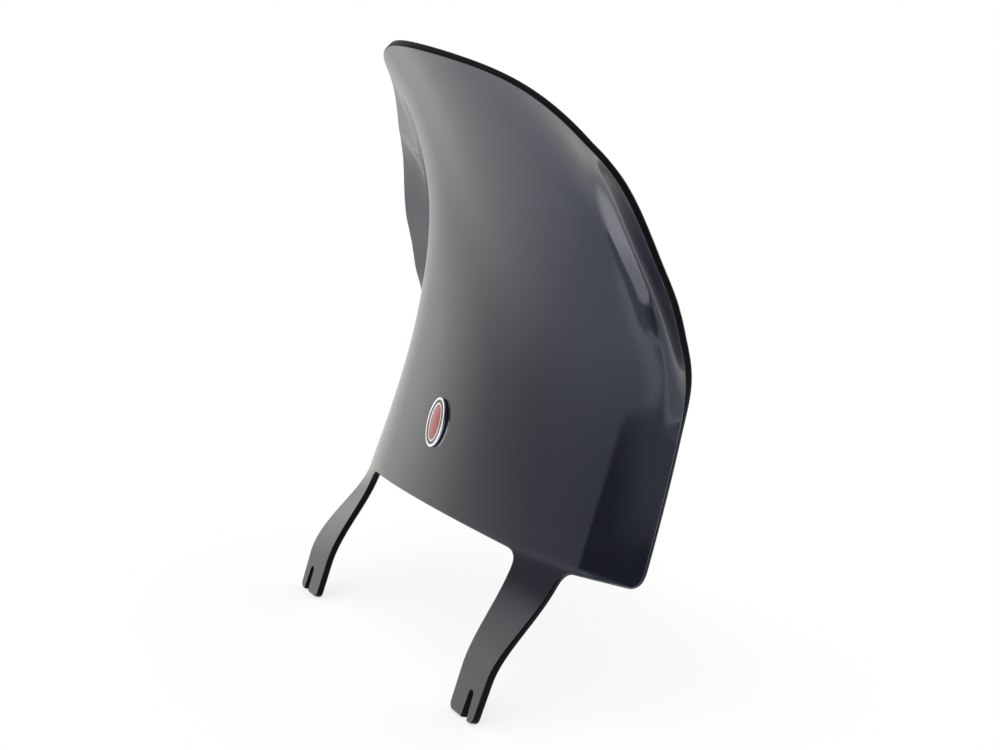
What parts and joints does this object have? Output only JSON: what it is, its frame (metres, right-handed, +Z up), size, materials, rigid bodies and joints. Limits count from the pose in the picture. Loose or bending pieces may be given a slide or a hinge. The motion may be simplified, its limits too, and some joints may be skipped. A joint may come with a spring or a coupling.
{
  "type": "motorcycle windshield screen",
  "caption": "Dark smoke windshield screen moulded as one flared sheet on two slotted legs, with a plain oval badge on its front.",
  "frame": {"origin": "midway between the axes of the two fixing screws, on the back face of the leg ends", "axes": "+X to the right as seen from the front, +Y from the front to the back, +Z up, as the screen stands in the picture"},
  "size_m": [0.3644, 0.127, 0.4042],
  "materials": {
    "smoke_sheet": "polished dark smoke polycarbonate with a hard coat, almost opaque",
    "foam_tape": "matt black acrylic foam tape",
    "bright_metal": "bright plated",
    "black_enamel": "gloss enamel",
    "red_enamel": "gloss enamel, slightly domed"
  },
  "bodies": {
    "root": {"screen": "smoke_sheet", "badge_tape": "foam_tape", "badge_plate": "bright_metal", "badge_ring": "black_enamel", "badge_centre": "red_enamel"}
  },
  "joints": []
}
